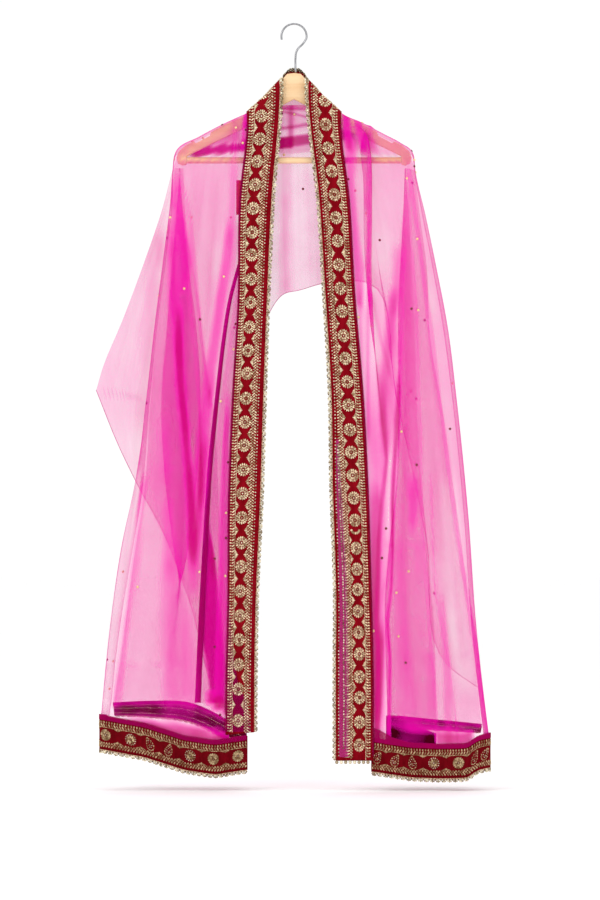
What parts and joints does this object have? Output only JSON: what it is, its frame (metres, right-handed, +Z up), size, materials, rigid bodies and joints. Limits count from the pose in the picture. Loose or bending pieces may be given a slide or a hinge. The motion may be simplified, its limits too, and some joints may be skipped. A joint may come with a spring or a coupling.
{
  "type": "dupatta stole on a hanger",
  "caption": "Sheer net stole with a wide embroidered velvet border and bead edging, draped over both arms of a wooden coat hanger",
  "frame": {"origin": "the inside top of the hook, where it rests on its rod", "axes": "+Z up, +X to the viewer's right, -Y towards the viewer"},
  "size_m": [0.7519, 0.1523, 1.4416],
  "materials": {
    "net": "sheer magenta nylon net, soft sheen",
    "velvet": "deep maroon velvet, matt with a soft edge sheen",
    "gold_trim": "antique gold thread and glass seed beads, glinting",
    "tape": "narrow dark magenta velvet tape",
    "label": "plain red woven label",
    "wood": "pale satin beech with fine straight grain",
    "steel": "bright plated steel wire"
  },
  "bodies": {
    "root": {"net_front_left": "net", "net_front_right": "net", "net_inner_left": "net", "net_inner_right": "net", "net_turned_left": "net", "net_back": "net", "border_front_left": "velvet", "border_front_right": "velvet", "border_neck": "velvet", "hem_front_left": "velvet", "hem_front_right": "velvet", "hem_inner_left": "velvet", "hem_inner_right": "velvet", "lace_front_left": "gold_trim", "lace_front_right": "gold_trim", "lace_neck": "gold_trim", "lace_hem_left": "gold_trim", "lace_hem_right": "gold_trim", "lace_inner_left": "gold_trim", "lace_inner_right": "gold_trim", "tape_left": "tape", "label": "label", "hanger_body": "wood", "hanger_bar": "wood", "hanger_hook": "steel"}
  },
  "joints": []
}
